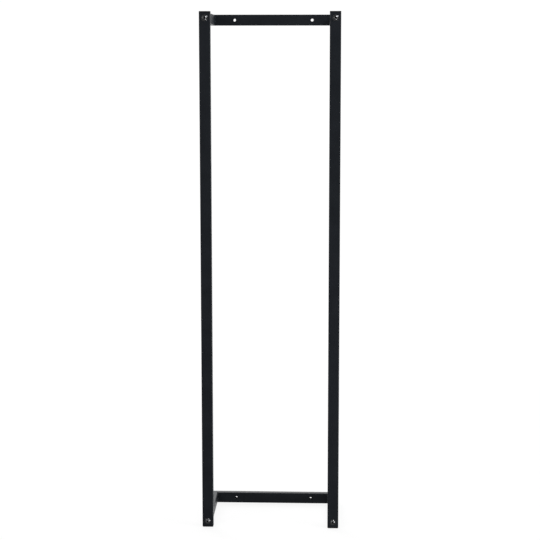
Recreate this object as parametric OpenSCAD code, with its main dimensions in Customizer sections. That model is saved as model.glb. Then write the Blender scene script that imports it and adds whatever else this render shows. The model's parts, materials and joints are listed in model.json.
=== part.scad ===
// Wall-mounted firewood log rack.
//
// Two upright posts of rectangular steel tube stand in front of a wall. A U-shaped bracket of
// the same tube holds them to it at the top and another at the bottom: a rail lies against the
// wall, and an arm at each end, mitred and welded to the rail, reaches forward to a post. A
// button-head bolt runs from the front through each end of a post into a weld nut in the arm.
//
// Millimetres. +Z is up, the posts face -Y, and the wall is at the rails' +Y faces. The origin
// is on the floor, below the middle of the rack's box. Left and right are as seen from the front.

/* [Overall size] */
// Width over the two posts
rack_w = 400; // [320:10:800]
// Height from the floor to the top of the caps
rack_h = 1500; // [600:10:2000]
// Depth from the wall to the front face of the posts
rack_d = 250; // [150:5:400]

/* [Tube] */
// Wide side of the tube
tube_w = 32; // [30:1:40]
// Narrow side of the tube
tube_t = 20; // [20:1:25]
// Wall thickness of the tube
wall = 1.5; // [1.2:0.1:2]
// Outer radius of the tube's corners
corner_r = 2.5; // [2.3:0.1:3]

/* [Brackets] */
// Distance between the two fixing holes in a rail
fixing_spacing = 230; // [60:5:230]
// Diameter of the fixing holes
fixing_d = 8.5; // [5:0.5:10]
// Leg of the weld bead in each inner corner
weld_leg = 3; // [2:0.5:5]
// Thickness of the plate that closes an arm's front end
end_plate_t = 3; // [2:0.5:5]

/* [Bolts] */
// Diameter over the thread
bolt_d = 7.9; // [7.5:0.1:7.9]
// Length under the head
bolt_l = 35; // [32:1:45]
// Diameter of the holes that the bolts pass through
bolt_hole_d = 9; // [8.5:0.1:10]
// Height of the bolt axis above the cut end of the post
bolt_inset = 15; // [15:1:60]

/* [Caps] */
// Thickness of the part of a cap that shows
cap_t = 4; // [3:0.5:5]
// Depth that a cap reaches into the post
plug_depth = 10; // [6:1:10]
// Radius of a foot's lower edges
foot_edge_r = 3; // [1:0.5:3]
// Radius of a top cap's upper edges
top_edge_r = 1; // [0.5:0.5:2]

/* [Hidden] */
$fn = 48;

// Sides of the rack, as a factor of x
LEFT = -1;
RIGHT = 1;

// Powder coat, black zinc, zinc plate and nylon
coat = [0.13, 0.13, 0.14];
black_zinc = [0.2, 0.2, 0.21];
zinc = [0.66, 0.66, 0.62];
nylon = [0.09, 0.09, 0.1];

// Button-head bolt with a collar, 8 mm thread
collar_d = 17.8;
collar_t = 1.3;
dome_d = 14;
dome_flat_d = 6.4;
head_h = 4.4;
socket_af = 5;
socket_depth = 2.6;
thread_pitch = 1.25;
thread_depth = 0.6;
thread_turns = 15;
// The dome is part of a ball that passes through the dome's base and its flat top
dome_rise = head_h - collar_t;
dome_sink = (pow(dome_d / 2, 2) - pow(dome_flat_d / 2, 2) - pow(dome_rise, 2)) / (2 * dome_rise);
ball_r = sqrt(pow(dome_d / 2, 2) + pow(dome_sink, 2));

// Hexagon weld nut
nut_af = 13;
nut_h = 6.5;
nut_bore_d = 8.1;
nut_chamfer = 0.8;

// Planes of the rack, front to back, with the box's middle at y = 0
wall_y = (rack_d + head_h) / 2;
front_y = wall_y - rack_d;
post_back_y = front_y + tube_t;
rail_front_y = wall_y - tube_t;

// The arms are centred behind the posts
post_x = (rack_w - tube_w) / 2;
bracket_x = post_x + tube_t / 2;
inner_x = bracket_x - tube_t;

// Heights
post_l = rack_h - 2 * cap_t;
bottom_z = cap_t + bolt_inset;
top_z = rack_h - cap_t - bolt_inset;

// Inside of the tube
bore_w = tube_w - 2 * wall;
bore_t = tube_t - 2 * wall;
bore_r = corner_r - wall;
// A piece that fits into the tube touches its flat sides only, so its own corners are rounder
fitted_r = bore_r + 1;

// Plug of a cap: a hollow stub with thin fins that grip the tube
plug_gap = 0.6;
plug_wall = 1.6;
fin_t = 0.8;
fin_count = 3;

// A cutter reaches this far past what it cuts
past = 1;

// Rectangle with rounded corners, centred on the origin
module rounded_rect(w, h, r) {
    square([w, h - 2 * r], center = true);
    square([w - 2 * r, h], center = true);
    for (x = [-1, 1], y = [-1, 1])
        translate([x * (w / 2 - r), y * (h / 2 - r)])
            circle(r);
}

// Cross-section of the tube, w along x and h along y
module tube_section(w, h) {
    difference() {
        rounded_rect(w, h, corner_r);
        rounded_rect(w - 2 * wall, h - 2 * wall, bore_r);
    }
}

// Hole along y through whatever reaches from y = 0 to y = length
module hole_along_y(d, length) {
    translate([0, -past, 0])
        rotate([-90, 0, 0])
            cylinder(d = d, h = length + 2 * past);
}

// Prism over a floor plan, as high as the tube and a little more, centred on z = 0
module over_plan(points) {
    linear_extrude(tube_w + 2 * past, center = true)
        polygon(points);
}

module post(side) {
    color(coat)
        difference() {
            translate([side * post_x, front_y + tube_t / 2, cap_t])
                linear_extrude(post_l)
                    tube_section(tube_w, tube_t);
            for (z = [bottom_z, top_z])
                translate([side * post_x, front_y, z])
                    hole_along_y(bolt_hole_d, tube_t);
        }
}

// Rail along the wall, with both ends mitred for the arms
module wall_rail(z) {
    color(coat)
        translate([0, 0, z])
            difference() {
                intersection() {
                    translate([0, wall_y - tube_t / 2, 0])
                        rotate([90, 0, 90])
                            linear_extrude(2 * bracket_x + 2 * past, center = true)
                                tube_section(tube_t, tube_w);
                    over_plan([
                        [-bracket_x - past, wall_y + past], [bracket_x + past, wall_y + past],
                        [inner_x - past, rail_front_y - past], [past - inner_x, rail_front_y - past]
                    ]);
                }
                for (x = [-1, 1])
                    translate([x * fixing_spacing / 2, rail_front_y, 0])
                        hole_along_y(fixing_d, tube_t);
            }
}

// Arm from the back of a post to the wall, mitred where it meets the rail
module arm(side, z) {
    color(coat)
        translate([0, 0, z])
            intersection() {
                translate([side * post_x, wall_y + past, 0])
                    rotate([90, 0, 0])
                        linear_extrude(wall_y + past - post_back_y)
                            tube_section(tube_t, tube_w);
                over_plan([
                    [side * (bracket_x + past), wall_y + past],
                    [side * (inner_x - past), rail_front_y - past],
                    [side * (inner_x - past), post_back_y - past],
                    [side * (bracket_x + past), post_back_y - past]
                ]);
            }
}

// Bead of weld in the upright inner corner between a rail and an arm
module corner_weld(side, z) {
    length = tube_w - 2 * corner_r;
    color(coat)
        translate([side * inner_x, rail_front_y, z - length / 2])
            rotate([0, 0, 225 - 45 * side])
                rotate_extrude(angle = 90)
                    square([weld_leg, length]);
}

// Plate welded into the front end of an arm, with the bolt's hole
module end_plate(side, z) {
    color(coat)
        difference() {
            translate([side * post_x, post_back_y + end_plate_t, z])
                rotate([90, 0, 0])
                    linear_extrude(end_plate_t)
                        rounded_rect(bore_t, bore_w, fitted_r);
            translate([side * post_x, post_back_y, z])
                hole_along_y(bolt_hole_d, end_plate_t);
        }
}

// Hexagon nut welded to the back of an end plate, with a chamfered outer face
module weld_nut(side, z) {
    corner = nut_af / 2 / cos(30);
    color(zinc)
        translate([side * post_x, post_back_y + end_plate_t, z])
            rotate([-90, 0, 0])
                difference() {
                    intersection() {
                        rotate(30)
                            cylinder(r = corner, h = nut_h, $fn = 6);
                        rotate_extrude()
                            polygon([
                                [0, 0], [corner, 0], [corner, nut_h - nut_chamfer],
                                [corner - nut_chamfer * tan(60), nut_h], [0, nut_h]
                            ]);
                    }
                    translate([0, 0, -past])
                        cylinder(d = nut_bore_d, h = nut_h + 2 * past);
                }
}

// Plain shank with a threaded end, drawn as rings, down from z = 0
module bolt_shank() {
    thread_l = thread_turns * thread_pitch;
    crest = bolt_d / 2;
    root = crest - thread_depth;
    rings = [for (i = [0:thread_turns - 1], p = [
        [root, (i + 0.5) * thread_pitch - bolt_l], [crest, (i + 1) * thread_pitch - bolt_l]
    ]) p];
    rotate_extrude()
        polygon(concat([[0, -bolt_l], [root, -bolt_l]], rings, [[crest, 0], [0, 0]]));
}

// Button head with a collar and a hexagon socket, up from z = 0
module bolt_head() {
    difference() {
        union() {
            cylinder(d = collar_d, h = collar_t);
            intersection() {
                translate([0, 0, collar_t - dome_sink])
                    sphere(ball_r);
                cylinder(d = dome_d, h = head_h);
            }
        }
        translate([0, 0, head_h - socket_depth])
            cylinder(r = socket_af / 2 / cos(30), h = socket_depth + past, $fn = 6);
    }
}

module bolt(side, z) {
    color(black_zinc)
        translate([side * post_x, front_y, z])
            rotate([90, 0, 0]) {
                bolt_shank();
                bolt_head();
            }
}

// Block as wide as the post whose lower edges are rounded, up from z = 0
module edged_block(edge_r) {
    intersection() {
        linear_extrude(cap_t)
            rounded_rect(tube_w, tube_t, corner_r);
        translate([0, 0, tube_t / 2])
            rotate([90, 0, 0])
                linear_extrude(tube_t + 2 * past, center = true)
                    rounded_rect(tube_w, tube_t, edge_r);
        translate([0, 0, tube_w / 2])
            rotate([90, 0, 90])
                linear_extrude(tube_w + 2 * past, center = true)
                    rounded_rect(tube_t, tube_w, edge_r);
    }
}

// Part of a cap inside the post: a hollow stub with fins, up from z = 0
module plug() {
    difference() {
        union() {
            linear_extrude(plug_depth)
                rounded_rect(bore_w - 2 * plug_gap, bore_t - 2 * plug_gap, fitted_r);
            for (i = [1:fin_count])
                translate([0, 0, i * plug_depth / (fin_count + 1)])
                    linear_extrude(fin_t)
                        rounded_rect(bore_w, bore_t, fitted_r);
        }
        linear_extrude(plug_depth + past)
            rounded_rect(
                bore_w - 2 * (plug_gap + plug_wall), bore_t - 2 * (plug_gap + plug_wall), bore_r
            );
    }
}

// Foot under a post: the block is on the floor and the plug points up
module foot_cap(side) {
    color(nylon)
        translate([side * post_x, front_y + tube_t / 2, 0]) {
            edged_block(foot_edge_r);
            translate([0, 0, cap_t])
                plug();
        }
}

// Cap on top of a post: the same piece upside down, with sharper edges
module top_cap(side) {
    color(nylon)
        translate([side * post_x, front_y + tube_t / 2, rack_h])
            mirror([0, 0, 1]) {
                edged_block(top_edge_r);
                translate([0, 0, cap_t])
                    plug();
            }
}

post(LEFT);  // left_post
post(RIGHT);  // right_post
wall_rail(top_z);  // top_wall_rail
wall_rail(bottom_z);  // bottom_wall_rail
arm(LEFT, top_z);  // top_left_arm
arm(RIGHT, top_z);  // top_right_arm
arm(LEFT, bottom_z);  // bottom_left_arm
arm(RIGHT, bottom_z);  // bottom_right_arm
corner_weld(LEFT, top_z);  // top_left_corner_weld
corner_weld(RIGHT, top_z);  // top_right_corner_weld
corner_weld(LEFT, bottom_z);  // bottom_left_corner_weld
corner_weld(RIGHT, bottom_z);  // bottom_right_corner_weld
end_plate(LEFT, top_z);  // top_left_end_plate
end_plate(RIGHT, top_z);  // top_right_end_plate
end_plate(LEFT, bottom_z);  // bottom_left_end_plate
end_plate(RIGHT, bottom_z);  // bottom_right_end_plate
weld_nut(LEFT, top_z);  // top_left_weld_nut
weld_nut(RIGHT, top_z);  // top_right_weld_nut
weld_nut(LEFT, bottom_z);  // bottom_left_weld_nut
weld_nut(RIGHT, bottom_z);  // bottom_right_weld_nut
bolt(LEFT, top_z);  // top_left_bolt
bolt(RIGHT, top_z);  // top_right_bolt
bolt(LEFT, bottom_z);  // bottom_left_bolt
bolt(RIGHT, bottom_z);  // bottom_right_bolt
top_cap(LEFT);  // left_top_cap
top_cap(RIGHT);  // right_top_cap
foot_cap(LEFT);  // left_foot_cap
foot_cap(RIGHT);  // right_foot_cap
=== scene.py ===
"""Looks of a wall-mounted firewood log rack.

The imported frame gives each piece's place and overall size, and the wall holes. Finer sizes, such as
a tube's wall or a bolt's thread, are named in the classes below. Tubes, weld beads, bolts and caps
are built here as finer meshes, each finish is a procedural material, and the rack stands in a plain
pale studio. Lengths are in metres, +Z is up, the posts face -Y and the wall is on the +Y side.
"""

import json
import logging
import math
from collections.abc import Callable, Mapping, Sequence
from dataclasses import dataclass, field
from enum import Enum
from functools import cache
from typing import ClassVar

import bmesh
import bpy
from mathutils import Matrix, Vector


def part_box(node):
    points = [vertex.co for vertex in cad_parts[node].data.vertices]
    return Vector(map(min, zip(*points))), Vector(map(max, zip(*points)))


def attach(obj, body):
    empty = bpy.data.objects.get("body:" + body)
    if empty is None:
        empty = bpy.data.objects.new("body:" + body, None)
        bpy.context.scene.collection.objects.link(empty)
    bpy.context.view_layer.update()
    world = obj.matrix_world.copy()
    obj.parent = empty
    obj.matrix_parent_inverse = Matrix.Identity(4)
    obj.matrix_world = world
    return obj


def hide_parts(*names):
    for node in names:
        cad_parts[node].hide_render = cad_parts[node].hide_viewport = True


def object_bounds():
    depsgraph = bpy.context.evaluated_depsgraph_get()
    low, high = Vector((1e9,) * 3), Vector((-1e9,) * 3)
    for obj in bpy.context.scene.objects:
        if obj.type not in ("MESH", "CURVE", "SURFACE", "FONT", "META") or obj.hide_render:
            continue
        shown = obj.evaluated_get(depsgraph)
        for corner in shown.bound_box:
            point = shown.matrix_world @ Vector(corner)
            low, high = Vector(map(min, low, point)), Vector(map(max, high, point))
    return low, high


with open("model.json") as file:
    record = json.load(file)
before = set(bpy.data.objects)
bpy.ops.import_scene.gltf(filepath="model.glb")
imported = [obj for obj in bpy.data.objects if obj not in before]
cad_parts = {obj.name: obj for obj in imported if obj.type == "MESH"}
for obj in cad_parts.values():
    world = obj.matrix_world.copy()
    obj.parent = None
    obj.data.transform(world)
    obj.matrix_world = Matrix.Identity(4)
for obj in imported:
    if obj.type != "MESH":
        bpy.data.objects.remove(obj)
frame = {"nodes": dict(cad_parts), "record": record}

CAD_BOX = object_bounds()
LOG = logging.getLogger("log_rack")

MM = 0.001
QUARTER_TURN = math.pi / 2
BODY = "root"
# Edges that turn more than this stay sharp
SHARP_ANGLE = math.radians(35)
# A float on each vertex: 1 on a rounded edge or deep in a bolt's socket, 0 on the open flats. On edges
# it places wear; deep in a socket it places painted shade
MARK = "mark"

Colour = tuple[float, float, float]
Pair = tuple[float, float]
Ring = list[Vector]

WHITE: Colour = (1.0, 1.0, 1.0)
# A little over 1, so that it comes out pure white
PURE_WHITE_LEVEL = 1.03


class Side(Enum):
    """The rack's two sides, each with the sign of its X."""

    LEFT = ("left", -1)
    RIGHT = ("right", 1)

    def __init__(self, word: str, sign: int) -> None:
        """Names the parts of the value."""
        self.word = word
        self.sign = sign


class Level(Enum):
    """The heights of the two wall brackets."""

    TOP = "top"
    BOTTOM = "bottom"


# ---------------------------------------------------------------------------------------------
# Shader maths
# ---------------------------------------------------------------------------------------------


class Socket:
    """One output of a node. Arithmetic on it adds Math nodes to the same tree."""

    def __init__(self, shader: "Shader", node: bpy.types.Node, key: str | int) -> None:
        """Points at an output.

        Args:
            shader: the tree that the node belongs to.
            node: the node.
            key: the output's name or index.
        """
        self.shader = shader
        self.node = node
        self.key = key

    @property
    def output(self) -> bpy.types.NodeSocket:
        """The output itself."""
        return self.node.outputs[self.key]

    def _math(self, operation: str, first: "Value", second: "Value") -> "Socket":
        """Adds one Math node.

        Args:
            operation: the node's operation.
            first: its first number or socket.
            second: its second number or socket.

        Returns:
            The node's result.
        """
        return self.shader.node("ShaderNodeMath", {"operation": operation}, {0: first, 1: second})

    def __add__(self, other: "Value") -> "Socket":
        """Self plus other."""
        return self._math("ADD", self, other)

    def __radd__(self, other: "Value") -> "Socket":
        """Other plus self."""
        return self._math("ADD", other, self)

    def __sub__(self, other: "Value") -> "Socket":
        """Self minus other."""
        return self._math("SUBTRACT", self, other)

    def __rsub__(self, other: "Value") -> "Socket":
        """Other minus self."""
        return self._math("SUBTRACT", other, self)

    def __mul__(self, other: "Value") -> "Socket":
        """Self times other."""
        return self._math("MULTIPLY", self, other)

    def __rmul__(self, other: "Value") -> "Socket":
        """Other times self."""
        return self._math("MULTIPLY", other, self)

    def between(self, low: float, high: float) -> "Socket":
        """Where the value stands from low to high, as a smooth step from 0 to 1.

        Args:
            low: the value that gives 0.
            high: the value that gives 1.

        Returns:
            The step.
        """
        settings = {"interpolation_type": "SMOOTHSTEP", "clamp": True}
        inputs = {"Value": self, "From Min": low, "From Max": high, "To Min": 0.0, "To Max": 1.0}
        return self.shader.node("ShaderNodeMapRange", settings, inputs)


Value = float | Colour | Socket
Inputs = Mapping[str | int, Value]


class Shader:
    """A node tree under construction."""

    def __init__(self, owner: bpy.types.Material | bpy.types.World) -> None:
        """Empties the owner's node tree.

        Args:
            owner: the material or world that the tree belongs to.
        """
        owner.use_nodes = True
        self.tree = owner.node_tree
        self.tree.nodes.clear()

    def node(
        self,
        kind: str,
        settings: Mapping[str, object] | None = None,
        inputs: Inputs | None = None,
        output: str | int = 0,
    ) -> Socket:
        """Adds a node.

        Args:
            kind: the node's type.
            settings: its properties, which are set before its sockets.
            inputs: numbers, colours or sockets, by the input's name or index.
            output: which output to return.

        Returns:
            That output.
        """
        made = self.tree.nodes.new(kind)
        for name, setting in (settings or {}).items():
            setattr(made, name, setting)
        for name, value in (inputs or {}).items():
            if isinstance(value, Socket):
                self.tree.links.new(value.output, made.inputs[name])
            elif isinstance(value, tuple):
                made.inputs[name].default_value = (*value, 1.0)
            else:
                made.inputs[name].default_value = value
        return Socket(self, made, output)

    def position(self) -> Socket:
        """The surface point in the object's own metres."""
        return self.node("ShaderNodeTexCoord", output="Object")

    def mark(self) -> Socket:
        """The mesh's own mark at the surface point, from 0 to 1."""
        return self.node("ShaderNodeAttribute", {"attribute_name": MARK}, output="Fac")

    def noise(self, lump: float, detail: float) -> Socket:
        """Smooth noise from 0 to 1.

        Args:
            lump: the size of its lumps, in metres.
            detail: how many finer octaves it has.

        Returns:
            The noise.
        """
        inputs = {"Vector": self.position(), "Scale": 1 / lump, "Detail": detail}
        return self.node("ShaderNodeTexNoise", {"noise_dimensions": "3D"}, inputs)

    def mix(self, factor: Value, low: Value, high: Value) -> Socket:
        """Blends two colours.

        Args:
            factor: 0 gives low and 1 gives high.
            low: the first colour.
            high: the second colour.

        Returns:
            The blend.
        """
        # The indices of a Mix node's factor, colours and result when it mixes colours
        return self.node("ShaderNodeMix", {"data_type": "RGBA"}, {0: factor, 6: low, 7: high}, 2)

    def bump(self, height: Socket, depth: float, under: Socket | None = None) -> Socket:
        """Turns a height into a normal.

        Args:
            height: the height, from 0 to 1.
            depth: what 1 stands for, in metres.
            under: the normal of a coarser relief that this one lies on.

        Returns:
            The normal.
        """
        coarser = {"Normal": under} if under else {}
        inputs = {"Height": height, "Distance": depth, "Strength": 1.0, **coarser}
        return self.node("ShaderNodeBump", None, inputs)


# ---------------------------------------------------------------------------------------------
# Finishes
# ---------------------------------------------------------------------------------------------


@dataclass(frozen=True)
class Finish:
    """What all finishes share: a name, and a material made from a Principled shader."""

    name: str

    def surface(self, shader: Shader) -> Inputs:
        """The Principled shader's inputs, which each finish has its own.

        Args:
            shader: the tree to add nodes to.

        Returns:
            Values and sockets by input name.
        """
        raise NotImplementedError

    @cache
    def material(self) -> bpy.types.Material:
        """The finish as a material, made once.

        Returns:
            The material.
        """
        made = bpy.data.materials.new(self.name)
        shader = Shader(made)
        principled = shader.node("ShaderNodeBsdfPrincipled", None, self.surface(shader))
        shader.node("ShaderNodeOutputMaterial", None, {"Surface": principled})
        return made


@dataclass(frozen=True)
class PowderCoat(Finish):
    """Matt black powder coat: orange peel under a fine grain, rubbed in places along the edges."""

    dark: Colour = (0.0044, 0.0066, 0.0106)
    light: Colour = (0.0076, 0.0106, 0.0158)
    rubbed: Colour = (0.0155, 0.0180, 0.0220)
    cloud_size: float = 60 * MM
    cloud_share: float = 0.6
    tone_band: Pair = (0.3, 0.7)
    peel_size: float = 1.9 * MM
    peel_depth: float = 0.1 * MM
    grain_size: float = 0.42 * MM
    grain_depth: float = 0.055 * MM
    rub_size: float = 5 * MM
    rub_band: Pair = (0.52, 0.74)
    rub_shine: float = 0.12
    roughness: float = 0.5
    roughness_spread: float = 0.05
    specular: float = 0.33

    def surface(self, shader: Shader) -> Inputs:
        """The clouds and the grain tint it, and rubs make it greyer and smoother."""
        clouds = shader.noise(self.cloud_size, 3)
        peel = shader.noise(self.peel_size, 1)
        grain = shader.noise(self.grain_size, 2)
        rubs = shader.noise(self.rub_size, 5).between(*self.rub_band) * shader.mark()
        tone = (clouds * self.cloud_share + grain * (1 - self.cloud_share)).between(*self.tone_band)
        film = self.roughness + self.roughness_spread * (clouds * 2 - 1)
        relief = shader.bump(peel, self.peel_depth)
        return {
            "Base Color": shader.mix(rubs, shader.mix(tone, self.dark, self.light), self.rubbed),
            "Roughness": film - rubs * self.rub_shine,
            "Specular IOR Level": self.specular,
            "Normal": shader.bump(grain, self.grain_depth, relief),
        }


@dataclass(frozen=True)
class BlackZinc(Finish):
    """Black zinc plate on a bolt: dark blotchy metal, half gloss, and painted shade deep in the socket.
    """

    dark: Colour = (0.170, 0.173, 0.180)
    light: Colour = (0.300, 0.303, 0.310)
    # Painted shade for the bottom of the socket, near black, standing in for the shade that falls there
    painted_socket_shade: Colour = (0.012, 0.012, 0.013)
    blotch_size: float = 2.4 * MM
    blotch_band: Pair = (0.35, 0.7)
    pit_size: float = 0.22 * MM
    pit_depth: float = 0.006 * MM
    roughness: float = 0.2
    roughness_spread: float = 0.09

    def surface(self, shader: Shader) -> Inputs:
        """Blotches change its colour and gloss together."""
        blotches = shader.noise(self.blotch_size, 4).between(*self.blotch_band)
        plate = shader.mix(blotches, self.dark, self.light)
        return {
            # The mark blends the plate into painted shade deep in the socket
            "Base Color": shader.mix(shader.mark(), plate, self.painted_socket_shade),
            "Metallic": 1.0,
            "Roughness": self.roughness + self.roughness_spread * blotches,
            "Normal": shader.bump(shader.noise(self.pit_size, 2), self.pit_depth),
        }


@dataclass(frozen=True)
class BrightZinc(Finish):
    """Bright zinc plate on a weld nut, with a spangle and straw-coloured patches."""

    silver: Colour = (0.56, 0.57, 0.58)
    straw: Colour = (0.60, 0.57, 0.47)
    straw_band: Pair = (0.4, 0.65)
    spangle_size: float = 1.1 * MM
    spangle_depth: float = 0.008 * MM
    roughness: float = 0.24
    roughness_spread: float = 0.2

    def surface(self, shader: Shader) -> Inputs:
        """One spangle drives its colour, gloss and relief."""
        spangle = shader.noise(self.spangle_size, 3)
        return {
            "Base Color": shader.mix(spangle.between(*self.straw_band), self.silver, self.straw),
            "Metallic": 1.0,
            "Roughness": self.roughness + self.roughness_spread * spangle,
            "Normal": shader.bump(spangle, self.spangle_depth),
        }


@dataclass(frozen=True)
class MouldedNylon(Finish):
    """Black nylon from an etched mould: an even fine grain, with faint scuffs along the edges."""

    base: Colour = (0.0052, 0.0056, 0.0066)
    scuffed: Colour = (0.0130, 0.0134, 0.0145)
    grain_size: float = 0.3 * MM
    grain_depth: float = 0.015 * MM
    scuff_size: float = 7 * MM
    scuff_band: Pair = (0.5, 0.72)
    # How much of the scuffing reaches the flats
    flat_scuffs: float = 0.25
    scuff_shine: float = 0.08
    roughness: float = 0.5
    roughness_spread: float = 0.1
    specular: float = 0.36

    def surface(self, shader: Shader) -> Inputs:
        """Scuffs make it greyer and smoother, mostly on the edges."""
        grain = shader.noise(self.grain_size, 1)
        reach = self.flat_scuffs + (1 - self.flat_scuffs) * shader.mark()
        scuffs = shader.noise(self.scuff_size, 4).between(*self.scuff_band) * reach
        return {
            "Base Color": shader.mix(scuffs, self.base, self.scuffed),
            "Roughness": self.roughness + self.roughness_spread * grain - self.scuff_shine * scuffs,
            "Specular IOR Level": self.specular,
            "Normal": shader.bump(grain, self.grain_depth),
        }


COAT = PowderCoat("powder_coat")
# A coat flows together over the ripples of a weld, so it is smoother there
COAT_ON_WELD = PowderCoat("powder_coat_on_weld", roughness=0.32, peel_depth=0.03 * MM)
BOLT_PLATE = BlackZinc("black_zinc_plate")
NUT_PLATE = BrightZinc("bright_zinc_plate")
NYLON = MouldedNylon("moulded_nylon")


# ---------------------------------------------------------------------------------------------
# Mesh work
# ---------------------------------------------------------------------------------------------


class Ends(Enum):
    """What happens to the first and the last ring of a skin."""

    CLOSED = "a flat face closes each"
    JOINED = "the last joins the first"
    FIRST_CLOSED = "a flat face closes the first only"


def rounded_rect(width: float, height: float, radius: float, steps: int) -> list[Pair]:
    """A rectangle with round corners, centred on the origin.

    Args:
        width: the size along the first axis.
        height: the size along the second axis.
        radius: the corners' radius.
        steps: the number of segments in a corner.

    Returns:
        The points, anticlockwise.
    """
    points = []
    for corner, (right, top) in enumerate(((1, 1), (-1, 1), (-1, -1), (1, -1))):
        u, v = right * (width / 2 - radius), top * (height / 2 - radius)
        for step in range(steps + 1):
            angle = (corner + step / steps) * QUARTER_TURN
            points.append((u + radius * math.cos(angle), v + radius * math.sin(angle)))
    return points


def round_outline(radius: float | Callable[[float], float], steps: int) -> list[Pair]:
    """A circle, or any outline whose radius depends on the angle.

    Args:
        radius: the radius, or a function of the angle that gives it.
        steps: the number of points.

    Returns:
        The points, anticlockwise.
    """
    angles = [2 * math.pi * step / steps for step in range(steps)]
    radii = [radius(angle) if callable(radius) else radius for angle in angles]
    return [(r * math.cos(angle), r * math.sin(angle)) for r, angle in zip(radii, angles)]


def skin(name: str, rings: Sequence[Ring], ends: Ends) -> bpy.types.Object:
    """Skins a row of rings that have the same number of points.

    Args:
        name: the object's name.
        rings: the rings, in order.
        ends: what happens to the first and the last one.

    Returns:
        The object, linked to the scene.
    """
    body = bmesh.new()
    rows = [[body.verts.new(point) for point in ring] for ring in rings]
    following = rows[1:] + ([rows[0]] if ends is Ends.JOINED else [])
    for row, follower in zip(rows, following):
        for i in range(len(row)):
            j = (i + 1) % len(row)
            body.faces.new((row[i], row[j], follower[j], follower[i]))
    if ends is not Ends.JOINED:
        body.faces.new(rows[0])
    if ends is Ends.CLOSED:
        body.faces.new(rows[-1])
    bmesh.ops.recalc_face_normals(body, faces=body.faces)
    mesh = bpy.data.meshes.new(name)
    body.to_mesh(mesh)
    body.free()
    made = bpy.data.objects.new(name, mesh)
    bpy.context.scene.collection.objects.link(made)
    return made


def cut(piece: bpy.types.Object, cutters: Sequence[bpy.types.Object]) -> None:
    """Takes the cutters' shapes out of a piece and removes the cutters.

    Args:
        piece: the piece.
        cutters: closed meshes.
    """
    for cutter in cutters:
        boolean = piece.modifiers.new("cut", "BOOLEAN")
        boolean.operation = "DIFFERENCE"
        boolean.solver = "EXACT"
        boolean.object = cutter
    graph = bpy.context.evaluated_depsgraph_get()
    carved = bpy.data.meshes.new_from_object(piece.evaluated_get(graph))
    piece.modifiers.clear()
    piece.data = carved
    for cutter in cutters:
        bpy.data.objects.remove(cutter)


# ---------------------------------------------------------------------------------------------
# Parts
# ---------------------------------------------------------------------------------------------


@dataclass
class Part:
    """What all parts share: a finer mesh, skinned from rings, that stands for a node."""

    node: str
    low: Vector = field(init=False)
    high: Vector = field(init=False)
    middle: Vector = field(init=False)
    size: Vector = field(init=False)
    word: ClassVar[str]
    slot: ClassVar[str]
    finish: ClassVar[Finish]
    ends: ClassVar[Ends] = Ends.CLOSED

    def __post_init__(self) -> None:
        """Reads the node's box from the frame."""
        self.low, self.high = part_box(self.node)
        self.middle = (self.low + self.high) / 2
        self.size = self.high - self.low

    def rings(self) -> list[Ring]:
        """The part's skin, which each part has its own.

        Returns:
            The rings, in order.
        """
        raise NotImplementedError

    def mark(self, point: Vector) -> float:
        """How strong the finish's mark is at a point; 0 unless a part says otherwise."""
        return 0.0

    def cutters(self) -> list[bpy.types.Object]:
        """What is cut out of the skin; nothing unless a part says otherwise."""
        return []

    def make(self) -> bpy.types.Object:
        """Builds the part, dresses it and hands it to the frame.

        Returns:
            The piece.
        """
        made = skin(f"{self.node}_{self.word}", self.rings(), self.ends)
        cutters = self.cutters()
        if cutters:
            cut(made, cutters)
        mesh = made.data
        mesh.materials.clear()
        mesh.materials.append(self.finish.material())
        mesh.shade_smooth()
        mesh.set_sharp_from_angle(angle=SHARP_ANGLE)
        marks = mesh.attributes.new(MARK, "FLOAT", "POINT")
        marks.data.foreach_set("value", [self.mark(vertex.co) for vertex in mesh.vertices])
        weighted = made.modifiers.new("flats_stay_flat", "WEIGHTED_NORMAL")
        weighted.keep_sharp = True
        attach(made, BODY)
        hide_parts(self.node)
        return made


class Axis(Enum):
    """The direction that a tube runs in, as its index and those of the two axes across it."""

    X = (0, 1, 2)
    Y = (1, 0, 2)
    Z = (2, 0, 1)

    def point(self, along: float, across: Pair) -> Vector:
        """A point from its place along the tube and across it.

        Args:
            along: the place along the tube.
            across: the place on the two axes across it.

        Returns:
            The point.
        """
        made = Vector()
        for index, value in zip(self.value, (along, *across)):
            made[index] = value
        return made


class Cut(Enum):
    """How a tube's end is cut, as the slope of the cut along the first axis across the tube."""

    SQUARE = 0
    RISING = 1
    FALLING = -1


@dataclass(frozen=True)
class Hole:
    """A round hole along Y through both walls of a tube."""

    middle: Vector
    radius: float
    # The broken edge at each mouth
    chamfer: float = 0.45 * MM
    # How far the cutter runs past each face
    overrun: float = 1 * MM
    steps: int = 48

    def cutter(self, front: float, back: float) -> bpy.types.Object:
        """The shape to cut away.

        Args:
            front: the Y of the tube's front face.
            back: the Y of its back face.

        Returns:
            The cutter, which runs past both faces.
        """
        flare = self.radius + self.chamfer + self.overrun
        profile = (
            (front - self.overrun, flare),
            (front + self.chamfer, self.radius),
            (back - self.chamfer, self.radius),
            (back + self.overrun, flare),
        )
        rings = [
            [Vector((self.middle.x + u, y, self.middle.z + v)) for u, v in round_outline(r, self.steps)]
            for y, r in profile
        ]
        return skin("drill", rings, Ends.CLOSED)


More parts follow.
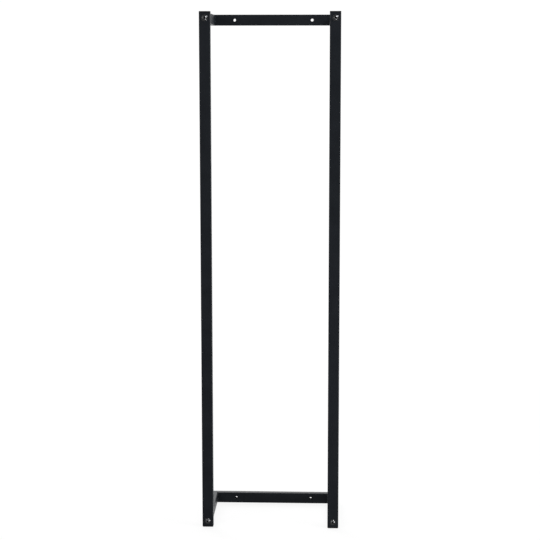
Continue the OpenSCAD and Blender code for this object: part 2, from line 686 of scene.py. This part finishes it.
@dataclass
class Tube(Part):
    """A length of rectangular steel tube with eased ends."""

    axis: Axis
    low_cut: Cut = Cut.SQUARE
    high_cut: Cut = Cut.SQUARE
    holes: Sequence[Hole] = ()
    wall: float = 1.5 * MM
    corner_radius: float = 2.5 * MM
    corner_steps: int = 8
    ease: float = 0.35 * MM
    ease_steps: int = 3
    spans: int = 12
    word: ClassVar[str] = "tube"
    slot: ClassVar[str] = "frame_coat"
    finish: ClassVar[Finish] = COAT
    ends: ClassVar[Ends] = Ends.JOINED

    def _ring(self, is_high: bool, inset: float, set_back: float) -> Ring:
        """One ring of points near an end.

        Args:
            is_high: whether it is the end with the larger coordinate.
            inset: how far the ring lies inside the outer surface.
            set_back: how far it lies from the cut.

        Returns:
            The ring.
        """
        along, first, second = self.axis.value
        slope = (self.high_cut if is_high else self.low_cut).value
        inward = -1 if is_high else 1
        end = (self.high if is_high else self.low)[along]
        start = end + inward * (abs(slope) * self.size[first] / 2 + set_back)
        outline = rounded_rect(
            self.size[first] - 2 * inset,
            self.size[second] - 2 * inset,
            self.corner_radius - inset,
            self.corner_steps,
        )
        u0, v0 = self.middle[first], self.middle[second]
        return [self.axis.point(start + slope * u, (u0 + u, v0 + v)) for u, v in outline]

    def rings(self) -> list[Ring]:
        """Out over one eased end, along the tube, over the other end and back inside."""
        turns = [QUARTER_TURN * step / self.ease_steps for step in range(self.ease_steps + 1)]
        eased = [(self.ease * (1 - math.sin(a)), self.ease * (1 - math.cos(a))) for a in turns]
        low = [self._ring(False, inset, back) for inset, back in eased]
        high = [self._ring(True, inset, back) for inset, back in reversed(eased)]
        between = [
            [a.lerp(b, span / self.spans) for a, b in zip(low[-1], high[0])]
            for span in range(1, self.spans)
        ]
        inside = [self._ring(is_high, self.wall, 0.0) for is_high in (True, False)]
        return [*low, *between, *high, *inside]

    def cutters(self) -> list[bpy.types.Object]:
        """One drill for each hole."""
        return [hole.cutter(self.low.y, self.high.y) for hole in self.holes]

    def mark(self, point: Vector) -> float:
        """1 in the middle of a rounded corner, less towards the flats, and 0 on them."""
        depth = min(
            abs(point[i] - self.middle[i]) - self.size[i] / 2 + self.corner_radius
            for i in self.axis.value[1:]
        )
        depth_in_the_middle = self.corner_radius * math.sqrt(0.5)
        return max(0.0, depth / depth_in_the_middle)


@dataclass
class WeldBead(Part):
    """A convex bead of weld in an upright inner corner, with the ripples of its pool."""

    side: Side
    ripple_pitch: float = 1.7 * MM
    ripple_depth: float = 0.2 * MM
    ripple_sharpness: float = 2.2
    # How far the ripples' middle runs ahead of their edges, in pitches
    ripple_bow: float = 0.6
    end_taper: float = 2.2 * MM
    end_radius: float = 0.02 * MM
    # How far the flat back of the bead is sunk into the tubes
    sunk: float = 0.15 * MM
    stations: int = 96
    arc_steps: int = 12
    word: ClassVar[str] = "bead"
    slot: ClassVar[str] = "weld_coat"
    finish: ClassVar[Finish] = COAT_ON_WELD

    def _radius(self, angle: float, height: float) -> float:
        """The bead's radius.

        Args:
            angle: from the rail (0) to the arm (a quarter turn).
            height: above the bead's lower end.

        Returns:
            The radius.
        """
        from_end = min(1.0, min(height, self.size.z - height) / self.end_taper)
        taper = math.sqrt(1 - (1 - from_end) ** 2)
        phase = height / self.ripple_pitch + self.ripple_bow * math.sin(2 * angle)
        trough = abs(2 * (phase % 1) - 1) ** self.ripple_sharpness
        return max(self.end_radius, (self.size.y - self.ripple_depth * trough) * taper)

    def rings(self) -> list[Ring]:
        """Quarter rounds from the lower end of the bead to the upper one."""
        corner_x = self.high.x if self.side is Side.RIGHT else self.low.x
        rings = []
        for station in range(self.stations + 1):
            height = self.size.z * station / self.stations
            quarter = [(self.sunk, self.sunk)]
            for step in range(self.arc_steps + 1):
                angle = QUARTER_TURN * step / self.arc_steps
                radius = self._radius(angle, height)
                u = -radius * math.sin(angle) if step else self.sunk
                v = -radius * math.cos(angle) if step < self.arc_steps else self.sunk
                quarter.append((u, v))
            rings.append(
                [
                    Vector((corner_x + self.side.sign * u, self.high.y + v, self.low.z + height))
                    for u, v in quarter
                ]
            )
        return rings


Outline = float | Callable[[float], float]


@dataclass
class ButtonBolt(Part):
    """A button-head bolt with a collar, a hexagon socket and a cut thread.

    Its rings are given as height above the head's seat and outline; the axis runs along Y.
    """

    # How far the socket happens to be turned, in degrees
    turned: float = 0.0
    length: float = 35 * MM
    collar_radius: float = 8.9 * MM
    collar_height: float = 1.3 * MM
    collar_edge: float = 0.3 * MM
    # The collar's rounded rim: drops below its top and insets from its side, in collar edges
    collar_rim: ClassVar[tuple[Pair, ...]] = ((1 / 3, 1.0), (1.0, 1 / 5), (2.0, 0.0))
    # How far the collar's top dips at the foot of the dome, in collar edges
    dome_foot_dip: float = 1 / 4
    seat_chamfer: float = 0.15 * MM
    dome_radius: float = 7 * MM
    flat_radius: float = 3.3 * MM
    head_height: float = 4.4 * MM
    dome_steps: int = 10
    socket_flats: float = 5 * MM
    socket_depth: float = 2.6 * MM
    socket_mouth: float = 0.25 * MM
    drill_point: float = 0.9 * MM
    # The share of the socket's depth over which the painted shade deepens
    painted_socket_shade_band: float = 2 / 3
    shank_radius: float = 3.95 * MM
    fillet: float = 0.3 * MM
    thread_pitch: float = 1.25 * MM
    thread_depth: float = 0.6 * MM
    thread_turns: int = 15
    rings_per_turn: int = 8
    tip_chamfer: float = 0.7 * MM
    steps: int = 72
    word: ClassVar[str] = "button_head"
    slot: ClassVar[str] = "black_zinc"
    finish: ClassVar[Finish] = BOLT_PLATE

    def _hexagon(self, inradius: float) -> Callable[[float], float]:
        """A hexagon's outline.

        Args:
            inradius: the distance from its middle to a flat.

        Returns:
            The radius at an angle.
        """
        sixth = math.pi / 3
        turn = math.radians(self.turned)
        return lambda angle: inradius / math.cos((angle - turn) % sixth - sixth / 2)

    def _socket(self) -> list[tuple[float, Outline]]:
        """From the drill point at the bottom of the socket up to its mouth."""
        floor = self.head_height - self.socket_depth
        inradius = self.socket_flats / 2
        return [
            (floor - self.drill_point, self.socket_mouth / 2),
            (floor, inradius - self.socket_mouth),
            (floor, self._hexagon(inradius)),
            (self.head_height - self.socket_mouth, self._hexagon(inradius)),
            (self.head_height, self._hexagon(inradius + self.socket_mouth)),
        ]

    def _head(self) -> list[tuple[float, Outline]]:
        """From the flat round the socket over the dome and the collar to the seat."""
        rise = self.head_height - self.collar_height
        # How far the dome's centre lies below the collar
        sunk = (self.dome_radius**2 - self.flat_radius**2 - rise**2) / (2 * rise)
        ball = math.hypot(self.dome_radius, sunk)
        first, last = (math.asin(r / ball) for r in (self.flat_radius, self.dome_radius))
        angles = [first + (last - first) * i / self.dome_steps for i in range(self.dome_steps + 1)]
        edge = self.collar_edge
        rim = [
            (self.collar_height - edge * drop, self.collar_radius - edge * inset)
            for drop, inset in self.collar_rim
        ]
        return [
            *(
                (self.collar_height - sunk + ball * math.cos(a), ball * math.sin(a))
                for a in angles
            ),
            (self.collar_height - edge * self.dome_foot_dip, self.dome_radius + edge),
            *rim,
            (self.seat_chamfer, self.collar_radius),
            (0.0, self.collar_radius - self.seat_chamfer),
        ]

    def _thread(self, height: float) -> Callable[[float], float]:
        """The thread's outline, which fades out towards the plain shank.

        Args:
            height: the height of the ring.

        Returns:
            The radius at an angle.
        """
        turns_left = self.thread_turns - (height + self.length) / self.thread_pitch
        depth = self.thread_depth * min(1.0, turns_left)
        turn = height / self.thread_pitch
        return lambda angle: self.shank_radius - depth * abs(
            2 * ((turn - angle / (2 * math.pi)) % 1) - 1
        )

    def _shank(self) -> list[tuple[float, Outline]]:
        """From the fillet under the head down to the tip."""
        core = self.shank_radius - self.thread_depth
        cut_length = self.thread_turns * self.thread_pitch
        count = self.thread_turns * self.rings_per_turn
        heights = [cut_length * (1 - i / count) - self.length for i in range(count)]
        return [
            (0.0, self.shank_radius + self.fillet),
            (-self.fillet, self.shank_radius),
            *((height, self._thread(height)) for height in heights),
            (self.tip_chamfer / 2 - self.length, core),
            (-self.length, core - self.tip_chamfer),
        ]

    def _seat(self) -> Vector:
        """The middle of the head's seat."""
        return Vector((self.middle.x, self.low.y + self.head_height, self.middle.z))

    def rings(self) -> list[Ring]:
        """Out of the socket, over the head and down the shank."""
        place = Matrix.Translation(self._seat()) @ Matrix.Rotation(QUARTER_TURN, 4, "X")
        return [
            [place @ Vector((u, v, height)) for u, v in round_outline(outline, self.steps)]
            for height, outline in (*self._socket(), *self._head(), *self._shank())
        ]

    def mark(self, point: Vector) -> float:
        """How deep the socket's painted shade is: 0 at the socket's mouth and outside it, rising to 1
        near its floor.
        """
        across = point - self._seat()
        depth = across.y + self.head_height
        bore = self.flat_radius - self.socket_mouth
        is_inside = across.y < 0 and math.hypot(across.x, across.z) < bore
        return min(1.0, depth / (self.painted_socket_shade_band * self.socket_depth)) if is_inside else 0.0


class CapUse(Enum):
    """The two uses of a cap, with its node's word, the way to the tube, and its edges' radius."""

    FOOT = ("foot_cap", 1, 3 * MM)
    TOP = ("top_cap", -1, 1 * MM)

    def __init__(self, word: str, inward: int, edge: float) -> None:
        """Names the parts of the value."""
        self.word = word
        self.inward = inward
        self.edge = edge


@dataclass
class Cap(Part):
    """A moulded cap: a block flush with the tube, and a hollow plug with fins that grip it."""

    use: CapUse
    block_height: float = 4 * MM
    corner_radius: float = 2.5 * MM
    plug_corner_radius: float = 0.6 * MM
    corner_steps: int = 8
    edge_steps: int = 6
    tube_wall: float = 1.5 * MM
    plug_gap: float = 0.6 * MM
    plug_wall: float = 1.6 * MM
    fin_thickness: float = 0.8 * MM
    fin_count: int = 3
    # The groove that shows where the cap meets the tube
    seam: float = 0.25 * MM
    # How deep the scuffs reach from the outer face, in edge radii
    scuff_reach: float = 1.5
    word: ClassVar[str] = "moulding"
    slot: ClassVar[str] = "cap_nylon"
    finish: ClassVar[Finish] = NYLON

    def _profile(self) -> list[Pair]:
        """Inset and depth of each ring, from the outer face to the floor of the hollow.

        Returns:
            The pairs; the depth is measured from the outer face towards the tube.
        """
        turns = [QUARTER_TURN * step / self.edge_steps for step in range(self.edge_steps + 1)]
        edge = [(self.use.edge * (1 - math.sin(a)), self.use.edge * (1 - math.cos(a))) for a in turns]
        plug = self.tube_wall + self.plug_gap
        pitch = (self.size.z - self.block_height) / (self.fin_count + 1)
        fins = []
        for fin in range(1, self.fin_count + 1):
            start = self.block_height + fin * pitch
            stop = start + self.fin_thickness
            fins += [(plug, start), (self.tube_wall, start), (self.tube_wall, stop), (plug, stop)]
        return [
            *edge,
            (0.0, self.block_height - self.seam),
            (self.seam, self.block_height),
            (plug, self.block_height),
            *fins,
            (plug, self.size.z),
            (plug + self.plug_wall, self.size.z),
            (plug + self.plug_wall, self.block_height),
        ]

    def _outer_face(self) -> float:
        """The Z of the face that shows."""
        return self.low.z if self.use is CapUse.FOOT else self.high.z

    def rings(self) -> list[Ring]:
        """Over the block's rounded edge, along the plug and down into its hollow."""
        rings = []
        for inset, depth in self._profile():
            radius = max(self.corner_radius - inset, self.plug_corner_radius)
            outline = rounded_rect(
                self.size.x - 2 * inset, self.size.y - 2 * inset, radius, self.corner_steps
            )
            z = self._outer_face() + self.use.inward * depth
            rings.append([Vector((self.middle.x + u, self.middle.y + v, z)) for u, v in outline])
        return rings

    def mark(self, point: Vector) -> float:
        """1 at the outer face, fading out just past its rounded edge."""
        depth = abs(point.z - self._outer_face())
        return max(0.0, 1 - depth / (self.scuff_reach * self.use.edge))


# ---------------------------------------------------------------------------------------------
# Sub-assemblies
# ---------------------------------------------------------------------------------------------


@dataclass
class Bracket:
    """A welded wall bracket: a rail with two fixing holes, two arms and two weld beads."""

    level: Level
    fixings_mount: str = "wall_fixing_holes"

    def _rail(self) -> Tube:
        """The rail along the wall, mitred at both ends.

        Returns:
            The rail, with its holes where the record's mount has them.
        """
        mounts = {mount["name"]: mount["dims"] for mount in frame["record"]["mounts"]}
        fixings = mounts[self.fixings_mount]
        offset = Vector((fixings["spacing_x_mm"] / 2 * MM, 0.0, 0.0))
        node = f"{self.level.value}_wall_rail"
        low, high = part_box(node)
        middles = [(low + high) / 2 + side.sign * offset for side in Side]
        holes = [Hole(middle, fixings["hole_r_mm"] * MM) for middle in middles]
        return Tube(node, Axis.X, Cut.FALLING, Cut.RISING, holes)

    def make(self) -> list[bpy.types.Object]:
        """Builds the bracket's pieces.

        Returns:
            The pieces.
        """
        parts: list[Part] = [self._rail()]
        for side in Side:
            stem = f"{self.level.value}_{side.word}"
            mitre = Cut.RISING if side is Side.RIGHT else Cut.FALLING
            parts.append(Tube(f"{stem}_arm", Axis.Y, high_cut=mitre))
            parts.append(WeldBead(f"{stem}_corner_weld", side))
        return [part.make() for part in parts]

    def dress_inside(self) -> list[bpy.types.Object]:
        """Gives the frame's own end plates and weld nuts, inside the arms, their finishes.

        Returns:
            The dressed nodes.
        """
        dressed = []
        for side in Side:
            for word, finish in (("end_plate", COAT), ("weld_nut", NUT_PLATE)):
                node = frame["nodes"][f"{self.level.value}_{side.word}_{word}"]
                node.data.materials.clear()
                node.data.materials.append(finish.material())
                dressed.append(node)
        return dressed


@dataclass
class Upright:
    """A post with its two bolts, its foot and its top cap."""

    side: Side
    bolt_hole_radius: float = 4.5 * MM
    # How the sockets happen to be turned, in degrees, by side and level
    turns: ClassVar[Mapping[tuple[Side, Level], float]] = {
        (Side.LEFT, Level.TOP): 12.0,
        (Side.LEFT, Level.BOTTOM): 47.0,
        (Side.RIGHT, Level.TOP): 31.0,
        (Side.RIGHT, Level.BOTTOM): 4.0,
    }

    def make(self) -> list[bpy.types.Object]:
        """Builds the post's pieces.

        Returns:
            The pieces.
        """
        bolts = [
            ButtonBolt(f"{level.value}_{self.side.word}_bolt", self.turns[self.side, level])
            for level in Level
        ]
        holes = [Hole(bolt.middle, self.bolt_hole_radius) for bolt in bolts]
        post = Tube(f"{self.side.word}_post", Axis.Z, holes=holes)
        caps = [Cap(f"{self.side.word}_{use.word}", use) for use in CapUse]
        return [part.make() for part in (post, *bolts, *caps)]


# ---------------------------------------------------------------------------------------------
# Studio
# ---------------------------------------------------------------------------------------------


@dataclass(frozen=True)
class Softbox:
    """A square area light that faces the middle of the rack."""

    name: str
    place: tuple[float, float, float]
    side: float
    power: float

    def make(self) -> None:
        """Hangs the light."""
        light = bpy.data.lights.new(self.name, "AREA")
        light.size = self.side
        light.energy = self.power
        made = bpy.data.objects.new(self.name, light)
        made.location = self.place
        towards = (CAD_BOX[0] + CAD_BOX[1]) / 2 - made.location
        made.rotation_euler = towards.to_track_quat("-Z", "Y").to_euler()
        bpy.context.scene.collection.objects.link(made)


@dataclass(frozen=True)
class Surround:
    """A surround that looks pure white and lights the rack mostly from behind."""

    seen_level: float = PURE_WHITE_LEVEL
    back_level: float = 1.34
    front_level: float = 0.15
    back_band: Pair = (0.0, 0.85)
    # How much brighter it gets from eye level to overhead
    overhead_gain: float = 0.6
    overhead_band: Pair = (0.05, 0.45)

    def make(self) -> None:
        """Sets up the world."""
        world = bpy.data.worlds.new("surround")
        bpy.context.scene.world = world
        shader = Shader(world)
        direction = shader.node("ShaderNodeTexCoord", output="Generated")
        back, up = (
            shader.node("ShaderNodeSeparateXYZ", None, {0: direction}, output) for output in "YZ"
        )
        behind = back.between(*self.back_band)
        gain = 1 + self.overhead_gain * up.between(*self.overhead_band)
        level = self.front_level + (self.back_level - self.front_level) * behind * gain
        seen = shader.node("ShaderNodeLightPath", output="Is Camera Ray")
        strength = self.seen_level * seen + (1 - seen) * level
        light = shader.node("ShaderNodeBackground", None, {"Color": WHITE, "Strength": strength})
        shader.node("ShaderNodeOutputWorld", None, {"Surface": light})


@dataclass(frozen=True)
class Floor:
    """A round pale floor at the rack's feet, which turns into plain white light outwards."""

    radius: float = 14.0
    rings: int = 24
    steps: int = 96
    matt: Colour = (0.9, 0.9, 0.9)
    # How much of its white is its own light at the rack's feet, and where that becomes all of it
    near_glow: float = 0.85
    glow_band: Pair = (0.3, 2.5)
    white_level: float = PURE_WHITE_LEVEL

    def _material(self) -> bpy.types.Material:
        """Matt white blended with light of its own.

        Returns:
            The material.
        """
        made = bpy.data.materials.new("studio_floor")
        shader = Shader(made)
        away = shader.node(
            "ShaderNodeVectorMath", {"operation": "LENGTH"}, {0: shader.position()}, "Value"
        )
        glow = self.near_glow + (1 - self.near_glow) * away.between(*self.glow_band)
        matt = shader.node("ShaderNodeBsdfDiffuse", None, {"Color": self.matt})
        white = {"Color": WHITE, "Strength": self.white_level}
        light = shader.node("ShaderNodeEmission", None, white)
        blend = shader.node("ShaderNodeMixShader", None, {0: glow, 1: matt, 2: light})
        shader.node("ShaderNodeOutputMaterial", None, {"Surface": blend})
        return made

    def make(self) -> None:
        """Lays the floor, with finer rings near the rack."""
        level = CAD_BOX[0].z
        radii = [self.radius * (ring / self.rings) ** 2 for ring in range(1, self.rings + 1)]
        rings = [[Vector((u, v, level)) for u, v in round_outline(r, self.steps)] for r in radii]
        made = skin("floor", rings, Ends.FIRST_CLOSED)
        made.data.materials.append(self._material())
        made.visible_glossy = False


@dataclass(frozen=True)
class Camera:
    """The camera, in front of the rack, a little to its right and just above chest height."""

    place: tuple[float, float, float] = (0.181, -4.222, 1.366)
    turned_left: float = 2.21
    looking_down: float = 8.02
    lens: float = 96.3
    sensor: float = 36.0
    shift: Pair = (-0.0148, -0.0133)

    def make(self) -> None:
        """Sets up the camera and shows colours as they are."""
        scene = bpy.context.scene
        scene.view_settings.view_transform = "Standard"
        data = bpy.data.cameras.new("camera")
        data.sensor_width = self.sensor
        data.lens = self.lens
        data.shift_x, data.shift_y = self.shift
        made = bpy.data.objects.new("camera", data)
        made.location = self.place
        tilt = QUARTER_TURN - math.radians(self.looking_down)
        made.rotation_euler = (tilt, 0.0, math.radians(self.turned_left))
        scene.collection.objects.link(made)
        scene.camera = made


@dataclass(frozen=True)
class Studio:
    """Floor, surround, soft lights and camera."""

    softboxes: tuple[Softbox, ...] = (
        Softbox("key_softbox", (1.25, -0.55, 2.55), 0.8, 22.0),
        Softbox("low_softbox", (1.1, -0.8, 0.1), 0.35, 7.0),
        Softbox("fill_softbox", (-2.8, -3.0, 2.2), 1.6, 30.0),
        Softbox("back_softbox", (-1.8, 2.6, 2.6), 1.4, 40.0),
    )

    def make(self) -> None:
        """Sets up the whole studio."""
        for thing in (Camera(), Surround(), Floor(), *self.softboxes):
            thing.make()


def main() -> None:
    """Builds the studio and the rack."""
    logging.basicConfig(level=logging.INFO, format="%(name)s: %(message)s")
    Studio().make()
    for level in Level:
        bracket = Bracket(level)
        for piece in bracket.make():
            LOG.info("%s: %d vertices", piece.name, len(piece.data.vertices))
        for node in bracket.dress_inside():
            LOG.info("%s: the frame's own mesh, %s", node.name, node.data.materials[0].name)
    for side in Side:
        for piece in Upright(side).make():
            LOG.info("%s: %d vertices", piece.name, len(piece.data.vertices))


if __name__ == "__main__":
    main()
